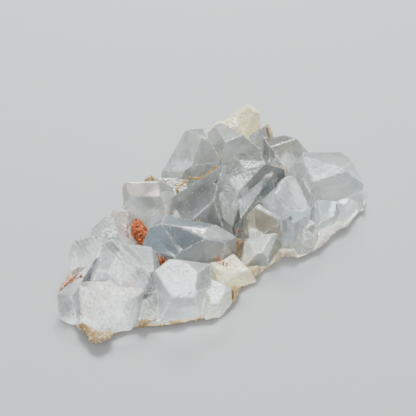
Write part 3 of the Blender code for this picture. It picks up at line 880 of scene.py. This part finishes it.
# %% Colour of a celestite finish
EDGE_WHITE = (0.96, 0.97, 0.95, 1.0)
HAZE_PALE = (0.88, 0.91, 0.89, 1.0)
RUST = (0.62, 0.30, 0.12, 1.0)
BLUSH_RED = (0.50, 0.30, 0.28, 1.0)
RIM_GLOW_PAINTED, CLOUD_HAZE, BAND_HAZE, DUST_SPARKLE_HAZE, VEIL_HAZE = 0.13, 0.13, 0.42, 0.35, 0.7
HOLLOW_SHADE_PAINTED = 0.38  # painted shade between crystals: how far a hollow goes to the stone's darker shade


def stone_colour(tree, m, haze, darker):
    """Each face's shade with haze, painted edge glow, grains, painted hollow shade, rust and bruises.
    """
    # the facet's shade: its tint, with painted highlights and painted shade
    shade = add(tree, "ShaderNodeAttribute", attribute_name="shade").outputs["Color"]
    dark = add(tree, "ShaderNodeVectorMath", {0: shade, "Scale": darker},
               operation="SCALE").outputs[0]
    # painted glow near the edges, as if light scattered there, with the pale clouds
    pale = maths(tree, "MULTIPLY_ADD", m["rim"], RIM_GLOW_PAINTED,
                 maths(tree, "MULTIPLY", m["cloud"], CLOUD_HAZE))
    bands = maths(tree, "MULTIPLY", maths(tree, "MULTIPLY", m["bands"], m["lines"]), BAND_HAZE)
    bands = maths(tree, "MULTIPLY", bands, m["fine"])
    pale = maths(tree, "MAXIMUM", pale, maths(tree, "MAXIMUM", m["frosted"], bands), clamp=True)
    # pale specks, partly dust and partly painted sparkle
    pale = maths(tree, "MULTIPLY_ADD", m["dust_and_sparkle"], DUST_SPARKLE_HAZE, pale, clamp=True)
    pale = maths(tree, "MULTIPLY_ADD", m["veils"], VEIL_HAZE, pale, clamp=True)
    colour = blend(tree, maths(tree, "MAXIMUM", m["deep"], m["milk"]), dark, shade)
    for factor, over in (
            (pale, haze),
            (maths(tree, "MAXIMUM", m["pits"], m["broken"]), dark),
            # painted shade in the hollows, where neighbouring crystals shadow each other
            (maths(tree, "MULTIPLY", m["hollow"], HOLLOW_SHADE_PAINTED), dark),
            (maths(tree, "MULTIPLY", m["blush"], m["fine"]), BLUSH_RED),
            (m["rust"], RUST),
            (m["edge"], EDGE_WHITE)):
        colour = blend(tree, factor, colour, over)
    return colour


print("paling, by strength:", {"rim": RIM_GLOW_PAINTED, "clouds": CLOUD_HAZE, "dust_and_sparkle": DUST_SPARKLE_HAZE,
                               "bands": BAND_HAZE, "veils": VEIL_HAZE})

# %% [markdown]
# ## Celestite's gloss and relief
#
# A clean face is polished and has a thin clear coat. Milky and ruled faces are rougher. The relief
# is only a bump, since it is far finer than the net: ridges on ruled faces, rubble on milky ones,
# and pits everywhere.

# %% Gloss and relief of a celestite finish
FROSTED_ROUGH, RULED_ROUGH, EDGE_ROUGH = 0.20, 0.18, 0.20  # what each adds to the roughness
COAT, RULED_COAT = 0.4, -0.35  # the polish of a clean face, and what full growth lines add
PLAIN_RIDGES, RULED_RIDGES = 0.12, 1.4
RUBBLE_HEIGHT, PIT_HEIGHT = 3.0, -0.6
SAND_SCALE = 2400.0
RELIEF, RELIEF_DEPTH = 0.7, 0.18 * MM


def stone_rough(tree, m, rough):
    """The roughness: a clean face's own, and more where it is frosted, ruled or bruised."""
    rough = maths(tree, "MULTIPLY_ADD", m["frosted"], FROSTED_ROUGH, rough)
    rough = maths(tree, "MULTIPLY_ADD", m["lines"], RULED_ROUGH, rough)
    return maths(tree, "MULTIPLY_ADD", m["edge"], EDGE_ROUGH, rough, clamp=True)


def stone_relief(tree, m):
    """Growth ridges on ruled faces, rubble on milky ones, and pits."""
    ridges = maths(tree, "MULTIPLY", m["ridges"],
                   maths(tree, "MULTIPLY_ADD", m["lines"], RULED_RIDGES, PLAIN_RIDGES))
    rubble = maths(tree, "MULTIPLY_ADD", m["rubble"], RUBBLE_HEIGHT,
                   clouds(tree, SAND_SCALE, 2.0))
    height = maths(tree, "MULTIPLY_ADD", rubble, m["milk"], ridges)
    height = maths(tree, "MULTIPLY_ADD", m["pits"], PIT_HEIGHT, height)
    return add(tree, "ShaderNodeBump", {"Height": height, "Strength": RELIEF,
                                        "Distance": RELIEF_DEPTH}).outputs[0]


print("relief, mm:", round(RELIEF * RELIEF_DEPTH / MM, 3))

# %% [markdown]
# ## Celestite finishes
#
# Transmission, IOR and absorption are plain values, as the stone's body is the same all through.
# Lamps would throw a black shadow through such a stone, so to a shadow ray the stone is simply
# clear and tinted. Each kind of crystal has its own mix of clearness, gloss and haze, and its own
# direction of growth lines.

# %% Celestite finishes
IOR_CELESTITE, IOR_COAT, COAT_ROUGH = 1.62, 1.5, 0.10
SOAK = (0.70, 0.755, 0.78)  # what light keeps of itself in the stone
SHADOW_TINT = (0.86, 0.88, 0.88, 1.0)


def clear_stone(name, clear, rough, density, turn, soak=SOAK, haze=HAZE_PALE, stain=0.25,
                veiled=0.3, darker=0.62):
    """A see-through stone; darker is the share of its shade that is left where haze is thin."""
    material = bpy.data.materials.new(name)
    material.use_nodes = True
    tree = material.node_tree
    shader, end = tree.nodes["Principled BSDF"], tree.nodes["Material Output"]
    m = stone_masks(tree, turn, stain, veiled)
    for key, value in {
            "Base Color": stone_colour(tree, m, haze, darker),
            "Roughness": stone_rough(tree, m, rough),
            "Coat Weight": maths(tree, "MULTIPLY_ADD", m["lines"], RULED_COAT, COAT, clamp=True),
            "Normal": stone_relief(tree, m),
            "IOR": IOR_CELESTITE,
            "Transmission Weight": clear,
            "Coat Roughness": COAT_ROUGH,
            "Coat IOR": IOR_COAT}.items():
        feed(tree, shader.inputs[key], value)
    window = add(tree, "ShaderNodeBsdfTransparent", {"Color": SHADOW_TINT})
    ray = add(tree, "ShaderNodeLightPath").outputs["Is Shadow Ray"]
    mix = add(tree, "ShaderNodeMixShader", {0: ray, 1: shader.outputs[0], 2: window.outputs[0]})
    absorb = add(tree, "ShaderNodeVolumeAbsorption", {"Color": (*soak, 1.0), "Density": density})
    tree.links.new(mix.outputs[0], end.inputs["Surface"])
    tree.links.new(absorb.outputs[0], end.inputs["Volume"])
    return material


# how much passes through, roughness, absorption and the turn of the growth lines come first
FINISH = {
    "celestite_blue": clear_stone("celestite blue", 0.60, 0.14, 20.0, (0.4, 0.2, 0.3),
                                  veiled=0.15),
    "celestite_white": clear_stone("celestite white", 0.50, 0.22, 15.0, (0.0, 0.3, 0.8),
                                   darker=0.75),
    "celestite_grey": clear_stone("celestite grey", 0.68, 0.13, 20.0, (0.2, 0.4, 1.2),
                                  veiled=0.15),
    "celestite_clear": clear_stone("celestite clear", 0.72, 0.12, 20.0, (0.2, 0.1, 0.7)),
    "celestite_warm": clear_stone("celestite warm", 0.65, 0.16, 20.0, (0.1, 0.2, 0.9),
                                  soak=(0.76, 0.74, 0.68)),
    "celestite_milky": clear_stone("celestite milky", 0.52, 0.16, 15.0, (0.3, 0.6, 0.2),
                                   veiled=0.55, darker=0.50),
    "rim": clear_stone("celestite rim", 0.05, 0.35, 10.0, (0.3, 0.6, 0.2), darker=0.85),
    "calcite": clear_stone("calcite", 0.25, 0.22, 15.0, (0.2, 0.5, 0.1), soak=(0.85, 0.80, 0.62),
                           haze=(0.98, 0.92, 0.62, 1.0), stain=0.6, darker=0.8),
}
print("see-through finishes:", {name: len(made.node_tree.nodes) for name, made in FINISH.items()})

# %% [markdown]
# ## Clay and rock
#
# These are opaque, dull and granular. Each finish has a dark, a middle and a pale colour, mixed in
# patches and specks, and every grain also keeps a number of its own in an attribute, so that
# neighbours differ. At the right end the crust is bleached white, by an attribute too, because that
# is a place on the cluster and not a kind of rock.

# %% Dull finishes
BLEACHED = (0.93, 0.91, 0.80, 1.0)  # the crust's white rim
SPECK_FINER, RELIEF_FINER = 5.0, 6.0  # how much finer than the patches the others are
SPECK_PALE, GRIT_PALE = 0.6, 0.65
DULL_RELIEF, DULL_DEPTH, DULL_ROUGH = 0.7, 0.15 * MM, 0.3


def dull(name, dark, middle, pale, scale, rough):
    """A granular finish of three colours."""
    material = bpy.data.materials.new(name)
    material.use_nodes = True
    tree = material.node_tree
    patch = use(tree, HAZE, Scale=scale, Low=0.35, High=0.65)["Mask"]
    speck = use(tree, HAZE, Scale=scale * SPECK_FINER, Low=0.5, High=0.7)["Mask"]
    paleness = maths(tree, "MAXIMUM", maths(tree, "MULTIPLY", speck, SPECK_PALE),
                     maths(tree, "MULTIPLY", attribute(tree, "grit"), GRIT_PALE), clamp=True)
    colour = blend(tree, patch, (*dark, 1.0), (*middle, 1.0))
    colour = blend(tree, paleness, colour, (*pale, 1.0))
    colour = blend(tree, attribute(tree, "bleach"), colour, BLEACHED)
    relief = clouds(tree, scale * RELIEF_FINER, 4.0, Roughness=0.65)
    bump = add(tree, "ShaderNodeBump", {"Height": relief, "Strength": DULL_RELIEF,
                                        "Distance": DULL_DEPTH}).outputs[0]
    for key, value in {"Base Color": colour, "Normal": bump,
                       "Roughness": maths(tree, "MULTIPLY_ADD", relief, DULL_ROUGH, rough)}.items():
        tree.links.new(value, tree.nodes["Principled BSDF"].inputs[key])
    return material


# name: (dark, middle, pale, patches per metre, roughness)
DULL = {
    "clay": ((0.12, 0.018, 0.006), (0.42, 0.08, 0.02), (0.78, 0.27, 0.09), 600.0, 0.70),
    "brown clay": ((0.14, 0.08, 0.04), (0.32, 0.20, 0.11), (0.62, 0.34, 0.14), 600.0, 0.70),
    "peach clay": ((0.30, 0.13, 0.07), (0.62, 0.36, 0.24), (0.86, 0.66, 0.52), 600.0, 0.70),
    "rock": ((0.30, 0.17, 0.05), (0.52, 0.37, 0.18), (0.86, 0.79, 0.60), 260.0, 0.55),
    "ochre crumbs": ((0.40, 0.18, 0.03), (0.66, 0.36, 0.07), (0.88, 0.62, 0.22), 700.0, 0.55),
}
FINISH.update((name, dull(name, *recipe)) for name, recipe in DULL.items())
# a piece has the finish of its slot, unless it is one of these
OWN_FINISH = {"milky_rim": "rim", "rust_clay_centre": "brown clay", "rust_clay_east": "brown clay",
              "rust_clay_far_west": "peach clay"}
print("dull finishes:", list(DULL))

# %% [markdown]
# ## Crystals
#
# Every crystal solid is dressed in the same way: a worn net in the finish of its own slot. The
# small pale ones have a closer net, because their broken faces are what one sees of them.

# %% Dress the crystals
CRYSTAL_NET = 0.25 * MM
FINE_NET = {"milky_rim": 0.18 * MM, "cream_chunk": 0.2 * MM, "cream_calcite": 0.2 * MM}


def show(name, mesh, material):
    """Put a mesh in the scene as a piece that rides on the cluster."""
    mesh.materials.clear()
    mesh.materials.append(material)
    piece = bpy.data.objects.new(name, mesh)
    bpy.context.scene.collection.objects.link(piece)
    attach(piece, "root")
    return piece


for node in TINT_AND_LIGHT_MARKS:
    net = worn(node, FINE_NET.get(node, CRYSTAL_NET))
    piece = show(node + "_worn", net, FINISH[OWN_FINISH.get(node, slots[node])])
    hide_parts(node)
    print(node, len(net.polygons), "quads")

# %% [markdown]
# ## Grains
#
# Broken rock and clay show their grains, and crumbs of them lie in the seams. To model thousands of
# grains by hand is out of the question, so Geometry Nodes set a tiny icosphere on each of many
# points, turned and sized at random, and give each its own number for its shade. Two trees share
# these parts. Both end by making the instances real, because only real mesh can be kept.

# %% Parts of a grain tree
GRAIN_SIDES = 1  # subdivisions of an icosphere: 20 faces
FULL_TURN = 6.28
GRIT_SEED = 5
SHARED_INPUTS = [("Geometry", "NodeSocketGeometry", None), ("Grain Size", F, 0.3 * MM),
                 ("Seed", "NodeSocketInt", 1), ("Finish", "NodeSocketMaterial", None)]


def random_value(tree, low, high, seed):
    """A random number for each element, or a random vector where low is one."""
    if isinstance(low, tuple):
        return add(tree, "FunctionNodeRandomValue", {0: low, 1: high, "Seed": seed},
                   data_type="FLOAT_VECTOR").outputs[0]
    return add(tree, "FunctionNodeRandomValue", {2: low, 3: high, "Seed": seed},
               data_type="FLOAT").outputs[1]


def grains_on(tree, given, points, scale, palest):
    """A turned grain on each point, which keeps a number from 0 to the palest for its shade."""
    turn = random_value(tree, (0.0, 0.0, 0.0), (FULL_TURN,) * 3, given["Seed"])
    ball = add(tree, "GeometryNodeMeshIcoSphere", {"Radius": given["Grain Size"],
                                                   "Subdivisions": GRAIN_SIDES})
    placed = add(tree, "GeometryNodeInstanceOnPoints", {
        "Points": points, "Instance": ball.outputs[0], "Rotation": turn, "Scale": scale})
    grit = random_value(tree, 0.0, palest, GRIT_SEED)
    return add(tree, "GeometryNodeStoreNamedAttribute",
               {"Geometry": placed.outputs[0], "Name": "grit", "Value": grit},
               data_type="FLOAT", domain="INSTANCE").outputs[0]


def end_tree(tree, geometry, finish, out):
    """Make the instances real and give everything its finish."""
    real = add(tree, "GeometryNodeRealizeInstances", {"Geometry": geometry})
    done = add(tree, "GeometryNodeSetMaterial", {"Geometry": real.outputs[0], "Material": finish})
    tree.links.new(done.outputs[0], out)


print("inputs of a grain tree:", [label for label, kind, value in SHARED_INPUTS])

# %% [markdown]
# ## Grains over a surface
#
# The first tree scatters points over a mesh, where its attribute "open" allows them, and sets
# squashed grains there, half sunk in it. A tree runs as a modifier: its inputs are set, the result
# is taken as a plain mesh, and the modifier is dropped.

# %% Grain tree
SMALLEST_GRAIN = 0.35  # share of the largest
SQUASHED, STRETCHED = (0.7, 0.7, 0.5), (1.2, 1.2, 1.0)


def grain_tree():
    """Grains all over a surface, where its attribute "open" allows them."""
    tree, given, out = group_tree("grains", "GeometryNodeTree",
                                  SHARED_INPUTS + [("Density", F, 1.0e6)],
                                  [("Geometry", "NodeSocketGeometry")])
    allowed = add(tree, "GeometryNodeInputNamedAttribute", {"Name": "open"}, data_type="FLOAT")
    density = maths(tree, "MULTIPLY", allowed.outputs[0], given["Density"])
    points = add(tree, "GeometryNodeDistributePointsOnFaces", {
        "Mesh": given["Geometry"], "Density": density, "Seed": given["Seed"]}).outputs[0]
    size = random_value(tree, SMALLEST_GRAIN, 1.0, given["Seed"])
    squash = random_value(tree, SQUASHED, STRETCHED, given["Seed"])
    scale = add(tree, "ShaderNodeVectorMath", {0: squash, "Scale": size}, operation="SCALE")
    joined = add(tree, "GeometryNodeJoinGeometry")
    tree.links.new(given["Geometry"], joined.inputs[0])
    tree.links.new(grains_on(tree, given, points, scale.outputs[0], 1.0), joined.inputs[0])
    end_tree(tree, joined.outputs[0], given["Finish"], out["Geometry"])
    return tree


def run_tree(mesh, tree, **inputs):
    """Run a Geometry Nodes tree on a mesh and return the plain mesh that comes out."""
    obj = bpy.data.objects.new("worked", mesh)
    bpy.context.scene.collection.objects.link(obj)
    step = obj.modifiers.new(tree.name, "NODES")
    step.node_group = tree
    for socket in tree.interface.items_tree:
        label = socket.name.replace(" ", "_")
        if socket.item_type == "SOCKET" and socket.in_out == "INPUT" and label in inputs:
            step[socket.identifier] = inputs[label]
    ready = obj.evaluated_get(bpy.context.evaluated_depsgraph_get())
    made = bpy.data.meshes.new_from_object(ready)
    obj.modifiers.clear()
    bpy.data.objects.remove(obj)
    return made


GRAINS = grain_tree()
print("the tree", GRAINS.name, "has", len(GRAINS.nodes), "nodes")

# %% [markdown]
# ## Rock and clay
#
# The crust and the fillings get the same net, and grains wherever they are open to the air: not
# in the narrow seams under the crystals, where nobody could see them, nor under the foot, which
# must stay flat. How open a point is comes from its distance to the nearest crystal.

# %% Dress the rock and the clay
ROCK_NET, CLAY_NET, CLAY_LUMP = 0.40 * MM, 0.16 * MM, 0.8 * MM
DEEP_LUMP = 1.2 * MM  # the small fillings are mostly gaps
RAGGED = ("rust_clay_centre", "rust_clay_east", "rust_clay_middle", "rust_clay_far_west")
OPEN_FROM, OPEN_FULL = 0.45 * MM, 1.0 * MM
FOOT_CLEAR = 1.0 * MM  # no grains below this height
GRIT, GRIT_SCALE = 0.4, 900.0  # the net's own pale patches, between the grains
RIM_BEARING, RIM_FROM, RIM_FULL = -40.0, 12.0 * MM, 34.0 * MM  # where the crust turns white
RIM_RAGGED, RIM_SCALE, RIM_WHITEST = 0.3, 500.0, 0.9
GRAIN = {  # by slot: (grain size, grains per square metre)
    "rock": (0.42 * MM, 1.5e6),
    "clay": (0.46 * MM, 4.0e6),
}
CRYSTALS = solid_tree(TINT_AND_LIGHT_MARKS)

for seed, node in enumerate(n for n in frame["nodes"] if n not in TINT_AND_LIGHT_MARKS):
    slot = slots[node]
    net = worn(node, ROCK_NET if node == "rock_crust" else CLAY_NET,
               DEEP_LUMP if node in RAGGED else CLAY_LUMP)
    points = points_of(net)
    gaps = np.array([CRYSTALS.find_nearest(p)[3] for p in points])
    opened = np.clip((gaps - OPEN_FROM) / (OPEN_FULL - OPEN_FROM), 0.0, 1.0)
    opened[points[:, 2] < FOOT_CLEAR] = 0.0
    keep(net, "open", opened)
    keep(net, "grit", np.clip(GRIT * noise_at(points, GRIT_SCALE, 5), 0.0, 1.0))
    east = (points @ np.array(towards(RIM_BEARING, 0.0)) - RIM_FROM) / (RIM_FULL - RIM_FROM)
    keep(net, "bleach", np.clip(east + RIM_RAGGED * noise_at(points, RIM_SCALE, 6), 0.0,
                                RIM_WHITEST))
    grain, density = GRAIN[slot]
    finish = FINISH[OWN_FINISH.get(node, slot)]
    made = run_tree(net, GRAINS, Grain_Size=grain, Density=density, Seed=seed + 1,
                    Finish=finish)
    piece = show(node + "_worn", made, finish)
    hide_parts(node)
    print(node, len(made.polygons), "faces")

# %% [markdown]
# ## Crumbs in the seams
#
# Ochre and orange crumbs follow the seams between crystals, and a few lie on the faces. Each line
# of them is drawn as a few places. Points are spaced along it, thrown a little aside and laid on
# the nearest crystal.

# %% Lines of crumbs
# name: (finish, slot, grain size in mm, crumbs per mm, how far they stray in mm, lines in mm)
CRUMB_LINES = {
    "ochre_seam": ("ochre crumbs", "clay", 0.22, 14.0, 0.22, (
        ((14.0, 11.4, 15.0), (11.5, 10.4, 13.6), (9.9, 11.7, 10.6), (8.3, 13.4, 9.0),
         (4.1, 14.9, 9.6), (1.0, 14.6, 8.9)),)),
    "orange_crumbs": ("clay", "clay", 0.24, 9.0, 0.35, (
        ((2.6, -9.0, 9.5), (3.8, -8.6, 8.6)),
        ((-19.8, 6.3, 11.2), (-18.6, 9.6, 11.6)), ((-16.6, 5.2, 11.6), (-14.8, 8.8, 11.8)),
        ((-42.1, 4.8, 9.4), (-40.6, 4.2, 10.2), (-38.2, 3.1, 11.3)),
        ((-8.1, -12.4, 9.3), (-6.2, -14.0, 8.6)), ((-7.6, -13.9, 9.0), (-6.4, -15.2, 8.3)),
        ((-42.3, -1.2, 6.4), (-42.9, -2.0, 4.8)))),
    "gold_crumbs": ("ochre crumbs", "clay", 0.22, 1.6, 0.9, (
        ((-9.6, 10.1, 10.1), (-9.3, 8.7, 11.3), (-8.9, 4.9, 13.0), (-3.8, -3.3, 13.5)),
        ((9.9, -15.9, 9.8), (10.0, -15.7, 9.3)),
        ((-28.7, -5.6, 14.3), (-29.3, -4.3, 14.5)))),
}


def crumb_points(lines, per_mm, stray, seed):
    """Points along the lines, thrown a little aside and laid on the nearest crystal."""
    rng = np.random.default_rng(seed)
    points = []
    for line in lines:
        for start, end in zip(line, line[1:]):
            a, b = place(*start), place(*end)
            for share in rng.random(max(2, round((b - a).length / MM * per_mm))):
                aside = Vector(rng.normal(0.0, stray * MM, 3))
                points.append(CRYSTALS.find_nearest(a.lerp(b, share) + aside)[0])
    return points


print("lines of crumbs:", {name: len(recipe[-1]) for name, recipe in CRUMB_LINES.items()})

# %% [markdown]
# ## A grain on every crumb's place
#
# The second tree has no points to scatter, as they come in ready, so it is only a random size and
# the shared parts.

# %% Crumbs
SMALLEST_CRUMB, PALEST_CRUMB = 0.4, 0.8


def crumb_tree():
    """A grain on every point that comes in."""
    tree, given, out = group_tree("crumbs", "GeometryNodeTree", SHARED_INPUTS,
                                  [("Geometry", "NodeSocketGeometry")])
    size = random_value(tree, SMALLEST_CRUMB, 1.0, given["Seed"])
    crumbs = grains_on(tree, given, given["Geometry"], size, PALEST_CRUMB)
    end_tree(tree, crumbs, given["Finish"], out["Geometry"])
    return tree


CRUMBS = crumb_tree()
for seed, (name, (finish, slot, grain, per_mm, stray, lines)) in enumerate(CRUMB_LINES.items()):
    mesh = bpy.data.meshes.new(name)
    mesh.from_pydata(crumb_points(lines, per_mm, stray, seed), [], [])
    made = run_tree(mesh, CRUMBS, Grain_Size=grain * MM, Seed=seed, Finish=FINISH[finish])
    piece = show(name, made, FINISH[finish])
    print(name, len(made.polygons), "faces")
